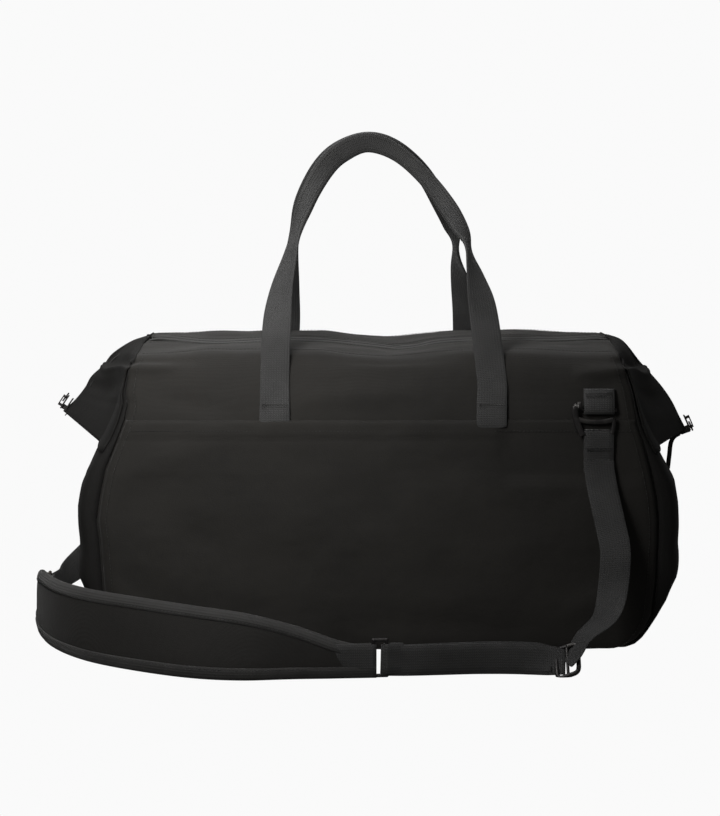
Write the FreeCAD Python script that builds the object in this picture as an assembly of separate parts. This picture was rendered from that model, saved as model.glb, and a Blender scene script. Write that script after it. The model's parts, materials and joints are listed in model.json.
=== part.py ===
"""A soft weekender bag with two webbing handles, a lengthwise top zip that ends in a folded
"wing" over each end panel, slip pockets front and back, and a hook-on shoulder strap with a
shaped pad that lies on the floor in front of the bag.

Frame: millimetres, +X to the right, the front face towards -Y, the floor at z = 0.
The origin is the centre of the underside of the base.
"""
import FreeCAD
import Part

import math
import os

V = FreeCAD.Vector

# ---- driving dimensions ------------------------------------------------------------------
CLOTH = 2.0                    # one canvas panel, with its facing
LINING = 1.0                   # lining cloth
LINING_GAP = 1.0               # air between a panel and the lining
DEPTH = 210.0                  # front face to back face
FACE_Y = DEPTH / 2
CREASE_Y = 91.0                # where the front face folds over into the top
CREASE_Z = 249.0
RIDGE_Z = 256.0                # top of the bag along the zip
SHOULDER_Z = 210.0             # the faces are upright up to here
BASE_SEAM_Z = 10.0
POCKET_Z = 195.0               # folded upper edge of the slip pockets
CORNER_R = 30.0                # upright corners, in plan

# upright side seams of the front and back faces, as (x, z)
SEAM_LEFT = [(-230, BASE_SEAM_Z), (-233, 94), (-235, 111), (-227, 154), (-211, 194), (-207, 262)]
SEAM_RIGHT = [(230, BASE_SEAM_Z), (231, 94), (231, 111), (224, 154), (213, 194), (205, 262)]

# silhouette from the front without the wings, as (x, z, corner radius)
FRONT_OUTLINE = [
    (-219, 0, 12), (-253, 56, 60), (-254, 120, 60), (-247, 156, 40), (-232, 205, 30),
    (-202, RIDGE_Z, 6), (200, RIDGE_Z, 6), (226, 198, 30), (243, 154, 40), (251, 120, 60),
    (250, 56, 60), (216, 0, 12),
]
# section across the depth, as (y, z, corner radius)
END_OUTLINE = [
    (-98, 0, 10), (-FACE_Y, 30, 40), (-FACE_Y, SHOULDER_Z, 30), (-CREASE_Y, CREASE_Z, 5),
    (0, RIDGE_Z, 40), (CREASE_Y, CREASE_Z, 5), (FACE_Y, SHOULDER_Z, 30), (FACE_Y, 30, 40),
    (98, 0, 10),
]
HALF_PLAN = 256.0
LONG_WALL = 213.0               # the end panels and their linings start here

# the top zip: straight along the ridge, then a long arc over each wing
ZIP_Z = RIDGE_Z + 1.6
WINGS = {
    "left": {"sign": -1, "start": (-196, ZIP_Z), "middle": (-243, 226), "tip": (-274, 188),
             "corner": (-222, 95, 166), "shoulder": (-204, 92, 244)},
    "right": {"sign": 1, "start": (194, ZIP_Z), "middle": (238, 218), "tip": (266, 169),
              "corner": (226, 95, 159), "shoulder": (202, 92, 244)},
}
TAPE = 0.8
TAPE_IN = 2.2                  # inner and outer edge of one tape, from the middle line
TAPE_OUT = 14.0
COIL_IN = 0.8
COIL_OUT = 3.2
COIL_H = 1.8
PLAY = 0.35                    # running clearance of sliders

# webbing and the hardware for it
WEB = 25.0
WEB_T = 2.0
BAR = 3.0                      # diameter of hook and ring bars
HANDLE_ROOT_Z = 208.6
FOOT_TOP_Z = 204.5
GRIP_W = 16.0
GRIP_T = 5.0

nodes = {}


# ---- small tools -------------------------------------------------------------------------
def unit(vector):
    return V(vector).normalize()


def rounded_wire(corners, place):
    """A closed wire through corners (a, b, radius); place turns (a, b) into a point."""
    points = [(V(a, b, 0), r) for a, b, r in corners]
    ends = []
    for i, (here, radius) in enumerate(points):
        before = unit(points[i - 1][0] - here)
        after = unit(points[(i + 1) % len(points)][0] - here)
        half = before.getAngle(after) / 2
        cut = radius / math.tan(half)
        middle = here + unit(before + after) * (radius / math.sin(half) - radius)
        ends.append((here + before * cut, middle, here + after * cut))
    edges = []
    for i, (start, middle, stop) in enumerate(ends):
        edges.append(Part.Arc(*[place(p.x, p.y) for p in (start, middle, stop)]).toShape())
        following = ends[(i + 1) % len(ends)][0]
        edges.append(Part.LineSegment(place(stop.x, stop.y), place(following.x, following.y)).toShape())
    return Part.Wire(edges)


def thick_slab(wire, inset, start, travel):
    """The face inside a wire, drawn in by inset, moved to start and extruded along travel."""
    shrunk = wire.makeOffset2D(-inset, 2) if inset else wire
    face = Part.Face(shrunk)
    face.translate(start)
    return face.extrude(travel)


def body(inset):
    """The bag's outer volume, inset on every side."""
    front = rounded_wire(FRONT_OUTLINE, lambda a, b: V(a, 0, b))
    end = rounded_wire(END_OUTLINE, lambda a, b: V(0, a, b))
    plan_corners = [(-HALF_PLAN, -FACE_Y, CORNER_R), (HALF_PLAN, -FACE_Y, CORNER_R),
                    (HALF_PLAN, FACE_Y, CORNER_R), (-HALF_PLAN, FACE_Y, CORNER_R)]
    plan = rounded_wire(plan_corners, lambda a, b: V(a, b, 0))
    volume = thick_slab(front, inset, V(0, -150, 0), V(0, 300, 0))
    volume = volume.common(thick_slab(end, inset, V(-300, 0, 0), V(600, 0, 0)))
    return volume.common(thick_slab(plan, inset, V(0, 0, -10), V(0, 0, 300)))


def prism(points, travel):
    """A straight prism on a closed polygon of 3-D points."""
    return Part.Face(Part.makePolygon([V(*p) for p in points + points[:1]])).extrude(V(*travel))


def block(x0, x1, y0, y1, z0, z1):
    return Part.makeBox(x1 - x0, y1 - y0, z1 - z0, V(x0, y0, z0))


def smooth_points(points, count):
    """Evenly spaced points on the smooth curve through a few chosen ones."""
    curve = Part.BSplineCurve()
    curve.interpolate([V(*p) for p in points])
    return curve.discretize(count)


def blend_vectors(vectors, count):
    """Directions that turn evenly through a few chosen ones."""
    spread = []
    for i in range(count):
        at = i * (len(vectors) - 1) / (count - 1)
        low = min(int(at), len(vectors) - 2)
        mix = at - low
        spread.append(V(*vectors[low]) * (1 - mix) + V(*vectors[low + 1]) * mix)
    return spread


def ribbon(points, across, width, thickness, count=0):
    """A flat strap: chosen points, the width's direction at each, one or many widths."""
    count = count or 3 * len(points)
    line = smooth_points(points, count)
    sides = blend_vectors(across, count)
    sections = []
    for i, point in enumerate(line):
        along = unit(line[min(i + 1, count - 1)] - line[max(i - 1, 0)])
        side = unit(sides[i] - along * along.dot(sides[i]))
        normal = along.cross(side)
        at = i * (len(width) - 1) / (count - 1) if isinstance(width, list) else 0
        low = int(min(at, len(width) - 2)) if isinstance(width, list) else 0
        broad = width[low] + (width[low + 1] - width[low]) * (at - low) if isinstance(width, list) else width
        half_w = side * (broad / 2)
        half_t = normal * (thickness / 2)
        corners = [point + half_w + half_t, point + half_w - half_t,
                   point - half_w - half_t, point - half_w + half_t]
        sections.append(Part.makePolygon(corners + corners[:1]))
    return Part.makeLoft(sections, True, True)


def round_bar(start, stop, diameter):
    start = V(*start)
    stop = V(*stop)
    return Part.makeCylinder(diameter / 2, (stop - start).Length, start, stop - start)


def fuse(shapes):
    whole = shapes[0]
    for shape in shapes[1:]:
        whole = whole.fuse(shape)
    return whole.removeSplitter()


def mirror_y(shape):
    return shape.mirror(V(0, 0, 0), V(0, 1, 0))


# ---- cloth panels ------------------------------------------------------------------------
def front_region():
    """Everything between the upright seams, below the crease and above the base seam."""
    outline = [(x, -200, z) for x, z in SEAM_LEFT] + [(x, -200, z) for x, z in reversed(SEAM_RIGHT)]
    seams = prism(outline, (0, 150, 0))
    below_crease = prism([(-300, -120, 0), (-300, -60, 0), (-300, -60, 226), (-300, -CREASE_Y - 12, 264),
                          (-300, -120, 264)], (600, 0, 0))
    return seams.common(below_crease)


def top_region():
    """The front half of the top, from the crease to the zip tape."""
    across = prism([(-196, -60, 226), (-196, -CREASE_Y - 12, 264), (-196, -TAPE_OUT, 264),
                    (-196, -TAPE_OUT, 226)], (390, 0, 0))
    return across


def make_panels():
    outer = body(0)
    middle = body(CLOTH)
    inner = body(2 * CLOTH)
    base_part = block(-300, 300, -150, 150, -5, BASE_SEAM_Z)
    pocket_part = block(-300, 300, -150, 0, BASE_SEAM_Z, POCKET_Z)
    front = front_region()
    top = top_region()
    main_shell = middle.cut(inner)
    nodes["front_pocket_panel"] = outer.cut(middle).common(front).common(pocket_part)
    nodes["front_main_panel"] = main_shell.common(front)
    nodes["top_panel_front"] = main_shell.common(top)
    nodes["base_panel"] = outer.cut(middle).common(base_part)
    ends = main_shell.cut(front).cut(mirror_y(front)).cut(top).cut(mirror_y(top))
    ends = ends.cut(block(-196, 194, -CREASE_Y, CREASE_Y, 200, 270))
    ends = ends.cut(block(-LONG_WALL, LONG_WALL, -150, 150, -5, 270))
    for side, sign in (("left", -1), ("right", 1)):
        near, far = sorted((0, sign * 300))
        half = block(near, far, -150, 150, BASE_SEAM_Z, 300)
        nodes[side + "_end_panel"] = ends.common(half)
    for name in ("pocket_panel", "main_panel"):
        nodes["back_" + name] = mirror_y(nodes["front_" + name])
    nodes["top_panel_back"] = mirror_y(nodes["top_panel_front"])


def make_lining():
    """Inner cloth: four walls and a floor, and the stiff board under the floor."""
    wall_out = 2 * CLOTH + LINING_GAP
    shell = body(wall_out).cut(body(wall_out + LINING))
    floor_z = wall_out + LINING + 0.5
    long_walls = block(-LONG_WALL, LONG_WALL, -150, 150, floor_z, 232)
    nodes["lining_front"] = shell.common(long_walls).common(block(-300, 300, -150, -60, 0, 300))
    nodes["lining_back"] = mirror_y(nodes["lining_front"])
    walls = shell.cut(block(-LONG_WALL, LONG_WALL, -150, 150, -5, 300))
    walls = walls.common(block(-300, 300, -150, 150, floor_z, 190))
    nodes["lining_left"] = walls.common(block(-300, 0, -150, 150, 0, 300))
    nodes["lining_right"] = walls.common(block(0, 300, -150, 150, 0, 300))
    nodes["lining_floor"] = block(-208, 208, -88, 88, 5.5, 6.5)
    nodes["inner_pocket_panel"] = block(-110, 110, 97.8, 99.0, 60, 185)
    nodes["base_board"] = block(-206, 206, -86, 86, CLOTH, 5.0)


# ---- the zip and its wings -----------------------------------------------------------------
def circle_of(wing):
    """Centre (x, z) and radius of the arc through a wing's three ridge points."""
    (ax, az), (bx, bz), (cx, cz) = wing["start"], wing["middle"], wing["tip"]
    turn = 2 * (ax * (bz - cz) + bx * (cz - az) + cx * (az - bz))
    a2, b2, c2 = ax * ax + az * az, bx * bx + bz * bz, cx * cx + cz * cz
    x = (a2 * (bz - cz) + b2 * (cz - az) + c2 * (az - bz)) / turn
    z = (a2 * (cx - bx) + b2 * (ax - cx) + c2 * (bx - ax)) / turn
    return x, z, math.hypot(ax - x, az - z)


def on_arc(wing, share, lift):
    """The point at a share of the arc, from ridge start to tip, lifted off it."""
    x, z, radius = circle_of(wing)
    first = math.atan2(wing["start"][1] - z, wing["start"][0] - x)
    last = math.atan2(wing["tip"][1] - z, wing["tip"][0] - x)
    angle = first + (last - first) * share
    return x + (radius + lift) * math.cos(angle), z + (radius + lift) * math.sin(angle)


def zip_band(low, high, y0, y1):
    """A strip that follows the whole zip, between two heights and two depths."""
    left, right = WINGS["left"], WINGS["right"]

    def arc(wing, shares, lift):
        return Part.Arc(*[V(x, y0, z) for x, z in [on_arc(wing, s, lift) for s in shares]]).toShape()

    pieces = [arc(left, (1, 0.5, 0), high), arc(right, (0, 0.5, 1), high),
              arc(right, (1, 0.5, 0), low), arc(left, (0, 0.5, 1), low)]
    edges = []
    for i, edge in enumerate(pieces):
        edges.append(edge)
        start = edge.Vertexes[-1].Point
        stop = pieces[(i + 1) % 4].Vertexes[0].Point
        edges.append(Part.LineSegment(start, stop).toShape())
    return Part.Face(Part.Wire(edges)).extrude(V(0, y1 - y0, 0))


def make_zip():
    for side, sign in (("front", -1), ("back", 1)):
        tape = sorted((sign * TAPE_IN, sign * TAPE_OUT))
        coil = sorted((sign * COIL_IN, sign * COIL_OUT))
        nodes["zip_tape_" + side] = zip_band(-TAPE / 2, TAPE / 2, *tape)
        nodes["zip_coil_" + side] = zip_band(TAPE / 2, TAPE / 2 + COIL_H, *coil)


def make_wings():
    """The four thin leaves that fold out over the end panels, two on each side."""
    skin = body(CLOTH - 0.1)
    for side, wing in WINGS.items():
        corner = V(wing["corner"][0], -wing["corner"][1], wing["corner"][2])
        shoulder = V(wing["shoulder"][0], -wing["shoulder"][1], wing["shoulder"][2])
        x0, z0 = on_arc(wing, 0.06, -TAPE / 2 - 0.3)
        x1, z1 = on_arc(wing, 0.5, -TAPE / 2 - 0.3)
        x2, z2 = on_arc(wing, 1.0, -TAPE / 2 - 0.3)
        ridge = Part.Arc(V(x0, -TAPE_IN - 2, z0), V(x1, -TAPE_IN - 2, z1), V(x2, -TAPE_IN - 2, z2)).toShape()
        lower = Part.LineSegment(shoulder, corner).toShape()
        leaf = Part.makeRuledSurface(ridge, lower)
        whole = leaf.extrude(V(-wing["sign"] * 0.8, 0.0, -1.6)).cut(skin)
        nodes[side + "_wing_front"] = max(whole.Solids, key=lambda s: s.Volume)
        nodes[side + "_wing_back"] = mirror_y(nodes[side + "_wing_front"])


def arc_block(wing, share0, share1, low, high, y_half):
    """A block that follows a wing's arc between two shares of it."""
    middle = (share0 + share1) / 2
    outer = [on_arc(wing, s, high) for s in (share0, middle, share1)]
    inner = [on_arc(wing, s, low) for s in (share1, middle, share0)]
    top = Part.Arc(*[V(x, -y_half, z) for x, z in outer]).toShape()
    bottom = Part.Arc(*[V(x, -y_half, z) for x, z in inner]).toShape()
    caps = [Part.LineSegment(top.Vertexes[-1].Point, bottom.Vertexes[0].Point).toShape(),
            Part.LineSegment(bottom.Vertexes[-1].Point, top.Vertexes[0].Point).toShape()]
    return Part.Face(Part.Wire([top, caps[0], bottom, caps[1]])).extrude(V(0, 2 * y_half, 0))


SLIDER_FROM = 0.87
SLIDER_TO = 0.985
PLATE = 1.1
NECK_Y = 0.45
BRIDGE_H = 3.4
PIN = 1.2


def make_sliders():
    """Each slider clamps the zip between two plates; its pull swings under a small bridge."""
    low = -TAPE / 2 - PLAY
    high = TAPE / 2 + COIL_H + PLAY
    for side, wing in WINGS.items():
        middle = (SLIDER_FROM + SLIDER_TO) / 2
        reach = SLIDER_TO - SLIDER_FROM
        upper = arc_block(wing, SLIDER_FROM, SLIDER_TO, high, high + PLATE, 4.0)
        lower = arc_block(wing, SLIDER_FROM, SLIDER_TO, low - PLATE, low, 4.0)
        neck = arc_block(wing, SLIDER_TO - 0.35 * reach, SLIDER_TO, low - 0.2, high + 0.2, NECK_Y)
        arch = arc_block(wing, SLIDER_FROM + 0.1 * reach, SLIDER_TO - 0.1 * reach,
                         high + PLATE - 0.2, high + PLATE + BRIDGE_H, 0.9)
        hole = arc_block(wing, middle - 0.24 * reach, middle + 0.24 * reach,
                         high + PLATE, high + PLATE + BRIDGE_H - 1.0, 2.0)
        nodes[side + "_slider"] = fuse([upper, lower, neck, arch.cut(hole)])
        px, pz = on_arc(wing, middle, high + PLATE + (BRIDGE_H - 1.0) / 2)
        make_pull(side, wing, px, pz)
        print("pull pivot", side, round(px, 2), round(pz, 2), "arc centre", circle_of(wing))


def make_pull(side, wing, px, pz):
    """A wire ring through the bridge, and on the right a short flat cord looped into it."""
    if side == "left":
        lie = V(0.62, 0, 0.785)
    else:
        lie = V(0.40, 0, -0.917)
    ring_r = 4.0
    centre = V(px, 0, pz) + unit(lie) * ring_r
    normal = unit(lie).cross(V(0, 1, 0))
    nodes[side + "_pull_ring"] = Part.makeTorus(ring_r, PIN / 2, centre, normal)
    if side == "right":
        start = centre + unit(lie) * (ring_r + PIN / 2 + 0.1)
        nodes["right_pull_cord"] = ribbon(
            [start, start + V(-2.0, -0.5, -8), start + V(-9, -1, -20), start + V(-16, -1, -34)],
            [(0, 1, 0), (0, 1, 0)], 5.0, 1.6, 10)


# ---- handles -----------------------------------------------------------------------------
# each path is one leg, the grip and the other leg, as (x, depth from the middle plane, z)
HANDLES = {
    "front": {"sign": -1, "feet": (-86.5, 92.0),
              "left": [(-86.5, 104.5, HANDLE_ROOT_Z), (-85.5, 93, 262), (-82.4, 77, 297.7),
                       (-75.3, 57, 327.3), (-69.6, 46, 347.5)],
              "grip": [(-69.6, 46, 347.5), (-60.7, 31, 373.4), (-46.3, 16, 398.6), (-31.8, 8, 411.8),
                       (-10.4, 4.2, 419.3), (15.3, 5.5, 409.9), (39.5, 14, 388.6), (56.7, 28, 366.1)],
              "right": [(56.7, 28, 366.1), (67.6, 42, 348), (79.2, 67, 313.3), (84.7, 84, 285.5),
                        (92, 104.5, HANDLE_ROOT_Z)]},
    "back": {"sign": 1, "feet": (-86.0, 78.0),
             "left": [(-86, 104.5, HANDLE_ROOT_Z), (-84.5, 93, 250), (-81.9, 77, 283.9), (-78.3, 57, 318.8),
                      (-73, 46, 345)],
             "grip": [(-73, 46, 345), (-64.6, 31, 371.9), (-49.9, 16, 396.7), (-33.4, 8, 411.6),
                      (-10.4, 4.2, 419.7), (12, 5.5, 414.6), (34.8, 14, 395.1), (52.8, 28, 366)],
             "right": [(52.8, 28, 366), (62.4, 42, 344.4), (69.9, 67, 303), (76.4, 84, 269.4),
                       (78, 104.5, HANDLE_ROOT_Z)]},
}


def make_handles():
    for name, handle in HANDLES.items():
        sign = handle["sign"]

        def placed(points):
            return [(x, sign * y, z) for x, y, z in points]

        left = ribbon(placed(handle["left"]), [(-1, 0, 0), (-1, 0, 0), (-1, 0, 0.2), (-0.8, 0, 0.5)],
                      [WEB, WEB, WEB, 20, GRIP_W], WEB_T, 15)
        right = ribbon(placed(handle["right"]), [(0.8, 0, 0.5), (1, 0, 0.2), (1, 0, 0), (1, 0, 0)],
                       [GRIP_W, 20, WEB, WEB, WEB], WEB_T, 15)
        grip_sides = [(-0.8, 0, 0.5), (-0.7, 0, 0.7), (-0.3, 0, 0.9), (0, 0, 1), (0.3, 0, 0.9),
                      (0.7, 0, 0.7), (0.8, 0, 0.5)]
        grip = ribbon(placed(handle["grip"]), grip_sides, GRIP_W, GRIP_T, 22)
        nodes[name + "_handle_left_leg"] = left.cut(grip)
        nodes[name + "_handle_right_leg"] = right.cut(grip)
        nodes[name + "_handle_grip"] = grip
        for side, x in zip(("left", "right"), handle["feet"]):
            y = sorted((sign * FACE_Y, sign * (FACE_Y - CLOTH)))
            nodes[name + "_handle_" + side + "_foot"] = block(
                x - WEB / 2, x + WEB / 2, y[0], y[1], POCKET_Z, FOOT_TOP_Z)


# ---- shoulder strap ----------------------------------------------------------------------
FRONT_HOOK = V(180, -108.1, 203.5)      # middle of the bar that hangs in the front loop
BACK_HOOK = V(-180, 108.1, 203.5)
LOOP_SLOT = 5.0
PAD_T = 7.0
PAD_INSET = 4.0                         # bound edge of the pad
FLOOR_GAP = 0.2

# the pad's middle line, a little above the floor, with the direction across it
PAD_LINE = [(-34, -196, 17), (-72, -200, 22), (-110, -203, 27), (-150, -192, 28), (-196, -166, 28.5),
            (-238, -134, 28.5), (-269, -92, 28), (-288, -42, 27), (-298, 20, 22), (-299, 52, 17)]
PAD_ACROSS = [(0, 0.10, 1), (0, 0.14, 1), (0, 0.20, 1), (0.05, 0.20, 1), (0.10, 0.14, 1),
              (0.09, 0.08, 1), (0.06, 0.04, 1), (0.05, 0, 1), (0.05, 0, 1), (0.05, 0, 1)]
PAD_WIDTH = [27, 38, 48, 53, 55, 55, 53, 48, 36, 28]


def make_strap_loop(name, middle, sign):
    """A folded piece of webbing, sewn flat to the face, that hangs open at the bottom."""
    inner_y = LOOP_SLOT
    depth = inner_y + 2 * WEB_T
    y0 = sign * (FACE_Y - CLOTH)
    outer = rounded_wire([(0, 0, 3.7), (depth, 0, 3.7), (depth, 20, 3.7), (0, 20, 3.7)],
                         lambda a, b: V(middle.x - WEB / 2, y0 + sign * a, 199.6 + b))
    hole = rounded_wire([(WEB_T, WEB_T, 1.8), (WEB_T + inner_y, WEB_T, 1.8),
                         (WEB_T + inner_y, 18, 1.8), (WEB_T, 18, 1.8)],
                        lambda a, b: V(middle.x - WEB / 2, y0 + sign * a, 199.6 + b))
    solid = Part.Face(outer).extrude(V(WEB, 0, 0)).cut(Part.Face(hole).extrude(V(WEB, 0, 0)))
    nodes[name] = solid


def make_hook(name, middle):
    """An open flat hook: a bar through the loop, a spine, and a closed slot for the strap."""
    x0 = middle.x - 19.5
    x1 = middle.x + 16.5
    y = middle.y
    bars = [round_bar((x0, y, 203.6), (x1, y, 203.6), BAR),
            round_bar((x0, y, 193.5), (x1, y, 193.5), BAR),
            round_bar((x0, y, 184.0), (x1, y, 184.0), BAR),
            round_bar((x1, y, 193.5), (x1, y, 184.0), BAR),
            block(x0 - 4.0, x0 + 3.0, y - BAR / 2, y + BAR / 2, 182.0, 205.6)]
    bars.append(Part.makeSphere(BAR / 2, V(x1, y, 193.5)))
    bars.append(Part.makeSphere(BAR / 2, V(x1, y, 184.0)))
    bars.append(Part.makeSphere(BAR / 2 + 0.25, V(x1, y, 203.6)))
    nodes[name] = fuse(bars)


def web_eye(middle_x, y, z, width, drop):
    """The end of a strap folded round a level bar: a narrow sleeve with a flat tail."""
    radius = BAR / 2 + 0.2
    outer = round_bar((middle_x - width / 2, y, z), (middle_x + width / 2, y, z), 2 * (radius + WEB_T / 2))
    tail = block(middle_x - width / 2, middle_x + width / 2, y - WEB_T, y + WEB_T, z - drop, z - radius)
    hole = round_bar((middle_x - width, y, z), (middle_x + width, y, z), 2 * radius)
    return outer.fuse(tail).cut(hole)


def make_strap():
    for name, middle, sign in (("front", FRONT_HOOK, -1), ("back", BACK_HOOK, 1)):
        make_strap_loop("strap_loop_" + name, middle, sign)
        make_hook("hook_" + name, middle)
        nodes["strap_eye_" + name] = web_eye(middle.x, middle.y, 184.0, WEB - 1, 15.0)

    y = FRONT_HOOK.y
    front = [(180, y, 169.5), (180.3, y - 2.2, 160), (182, -116, 142), (186, -127, 116), (189, -139, 90),
             (188.5, -151, 65), (184, -161, 48), (175, -170, 34), (163, -177, 21), (152, -179, 15)]
    across = [(1, 0, 0), (1, 0, 0), (1, 0, 0), (1, 0, 0), (1, -0.1, 0), (0.9, -0.45, 0.1),
              (0.45, -0.6, 0.5), (0.1, -0.3, 0.95), (0, 0, 1)]
    beyond_glide = block(130, 160.8, -195, -165, -5, 60)
    nodes["strap_web_front"] = ribbon(front, across, WEB, WEB_T, 26).cut(beyond_glide)

    # the tri-glide stands on edge; both layers of the strap meet it end to end
    glide = block(139.5, 160.2, -180.6, -177.4, FLOOR_GAP, 31.0)
    for x in (143.0, 152.0):
        glide = glide.cut(block(x, x + 4.6, -190, -170, 3.0, 28.2))
    nodes["tri_glide"] = glide

    outer_line = [(139.2, -180.2, 12.8), (110, -181, 12.8), (80, -184, 12.8), (50, -189, 12.8),
                  (12.0, -194.6, 12.8)]
    upright = [(0, 0, 1), (0, 0, 1)]
    nodes["strap_web_outer"] = ribbon(outer_line, upright, WEB, WEB_T, 12)
    inner_line = [(139.2, -177.9, 12.8), (110, -178.7, 12.8), (80, -181.7, 12.8), (50, -186.7, 12.8),
                  (12.0, -192.4, 12.8)]
    nodes["strap_web_inner"] = ribbon(inner_line, upright, WEB, WEB_T, 12)

    make_ring("ring_right", V(0, -194.8, 0), V(1, 0.10, 0), 26.0)
    make_ring("ring_left", V(-298.0, 71, 0), V(0.05, 1, 0), 10.0)

    rear = [(-297.2, 85.4, 15.5), (-290, 108, 20), (-264, 125, 42), (-232, 129, 84), (-200, 124, 122),
            (-184, 114.5, 145), (-180.3, BACK_HOOK.y + 2.2, 160), (-180, BACK_HOOK.y, 169.5)]
    rear_across = [(0, 0, 1), (0.2, 0, 1), (-0.6, 0, 0.8), (-0.8, 0, 0.5), (-1, 0, 0.3), (-1, 0, 0),
                   (-1, 0, 0), (-1, 0, 0)]
    nodes["strap_web_rear"] = ribbon(rear, rear_across, WEB, WEB_T, 22)
    join("strap_web_floor", "strap_web_outer", "strap_web_inner", "ring_right_eye_web")
    join("strap_web_rear", "strap_web_rear", "ring_left_eye_web", "strap_eye_back")
    join("strap_web_front", "strap_web_front", "strap_eye_front")
    make_pad()


def join(name, *pieces):
    """One continuous length of webbing from the pieces it was laid out in."""
    shapes = [nodes.pop(piece) for piece in pieces]
    nodes[name] = fuse(shapes)


def make_ring(name, middle, along, pad_tail):
    """A flat rectangular ring that stands on the floor, its long sides upright."""
    along = unit(along)
    half = 5.5
    tall = 29.0
    low = V(0, 0, FLOOR_GAP + BAR / 2)
    high = low + V(0, 0, tall)
    corners = [middle - along * half + low, middle + along * half + low,
               middle + along * half + high, middle - along * half + high]
    parts = []
    for i, corner in enumerate(corners):
        parts.append(round_bar(tuple(corner), tuple(corners[(i + 1) % 4]), BAR))
        parts.append(Part.makeSphere(BAR / 2, corner))
    nodes[name] = fuse(parts)
    side = V(0, 0, 1).cross(along)
    for end, sign, tail_length in (("pad", -1, pad_tail), ("web", 1, 8.5)):
        bar = middle + along * (half * sign)
        outward = along * sign
        sleeve = Part.makeCylinder(BAR / 2 + 0.2 + WEB_T / 2, WEB, bar + V(0, 0, 3.0))
        corners = [bar + side * WEB_T, bar - side * WEB_T]
        corners += [corners[1] + outward * tail_length, corners[0] + outward * tail_length]
        base = [p + V(0, 0, 3.0) for p in corners]
        tail = Part.Face(Part.makePolygon(base + base[:1])).extrude(V(0, 0, WEB))
        hole = Part.makeCylinder(BAR / 2 + 0.2, WEB + 10, bar + V(0, 0, -2.0))
        nodes[name + "_eye_" + end] = sleeve.fuse(tail).cut(hole)


def make_pad():
    """Foam core between two cloth faces, with a bound edge above and below."""
    count = 40
    bound = [w - 2 * PAD_INSET for w in PAD_WIDTH]
    core = [w - 0.4 for w in bound]
    nodes["pad_foam"] = ribbon(PAD_LINE, PAD_ACROSS, core, PAD_T - 2.6, count)
    face = ribbon(PAD_LINE, PAD_ACROSS, bound, PAD_T, count)
    covers = face.cut(ribbon(PAD_LINE, PAD_ACROSS, PAD_WIDTH, PAD_T - 2.4, count)).Solids
    covers.sort(key=lambda s: s.CenterOfMass.y)
    nodes["pad_cover_outer"] = covers[0]
    nodes["pad_cover_inner"] = covers[-1]
    rim = ribbon(PAD_LINE, PAD_ACROSS, PAD_WIDTH, 4.0, count)
    bindings = rim.cut(ribbon(PAD_LINE, PAD_ACROSS, bound, PAD_T + 8, count)).Solids
    bindings.sort(key=lambda s: s.CenterOfMass.z)
    nodes["pad_binding_lower"] = bindings[0]
    nodes["pad_binding_upper"] = bindings[-1]


def main():
    make_panels()
    make_lining()
    make_zip()
    make_wings()
    make_sliders()
    make_handles()
    make_strap()
    os.makedirs("parts", exist_ok=True)
    for name, shape in sorted(nodes.items()):
        if shape.ShapeType == "Compound" and len(shape.Solids) == 1:
            shape = shape.Solids[0]
        low, high = shape.BoundBox, shape.BoundBox
        print(f"{name:26s} valid {shape.isValid()} solids {len(shape.Solids)} volume {shape.Volume:9.0f}"
              f"  x {low.XMin:7.1f} {high.XMax:7.1f}  y {low.YMin:7.1f} {high.YMax:7.1f}"
              f"  z {low.ZMin:6.1f} {high.ZMax:6.1f}")
        shape.exportStep("parts/" + name + ".step")


main()
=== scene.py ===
import bpy
import json
import math
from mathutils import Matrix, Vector, noise

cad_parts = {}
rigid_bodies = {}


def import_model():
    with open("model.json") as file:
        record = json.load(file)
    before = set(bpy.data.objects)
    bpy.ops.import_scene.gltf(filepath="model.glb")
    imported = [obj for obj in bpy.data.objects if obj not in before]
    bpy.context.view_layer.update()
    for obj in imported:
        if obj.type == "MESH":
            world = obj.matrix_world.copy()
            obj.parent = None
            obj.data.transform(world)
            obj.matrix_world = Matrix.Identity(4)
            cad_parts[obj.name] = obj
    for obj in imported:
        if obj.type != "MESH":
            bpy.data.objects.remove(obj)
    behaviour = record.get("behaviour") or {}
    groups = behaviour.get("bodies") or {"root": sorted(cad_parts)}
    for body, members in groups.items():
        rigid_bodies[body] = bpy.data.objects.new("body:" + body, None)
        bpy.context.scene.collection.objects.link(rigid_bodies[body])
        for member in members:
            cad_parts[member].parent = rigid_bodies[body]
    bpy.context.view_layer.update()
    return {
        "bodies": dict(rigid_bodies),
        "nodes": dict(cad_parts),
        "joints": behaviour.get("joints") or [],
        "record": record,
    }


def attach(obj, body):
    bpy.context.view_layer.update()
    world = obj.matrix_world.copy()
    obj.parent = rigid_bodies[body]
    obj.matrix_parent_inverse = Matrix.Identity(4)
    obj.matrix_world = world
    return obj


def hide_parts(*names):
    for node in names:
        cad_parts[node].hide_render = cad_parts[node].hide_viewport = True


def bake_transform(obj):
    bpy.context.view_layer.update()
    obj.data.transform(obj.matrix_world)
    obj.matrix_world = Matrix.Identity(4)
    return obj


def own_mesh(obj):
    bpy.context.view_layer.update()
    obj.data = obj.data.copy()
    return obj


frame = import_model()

MM = 0.001
WEB_WIDTH = 25.0        # the strap's and the handles' webbing, in millimetres
WEB_THICK = 1.5
EYE_WIDTH = 24.5        # webbing drawn in a little where it folds round a bar
CLOTH_THICK = 1.4
HEM_THICK = 1.5         # pocket layer and wing leaves
LINING_THICK = 0.4
TAPE_THICK = 0.5        # the pad's binding


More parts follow.
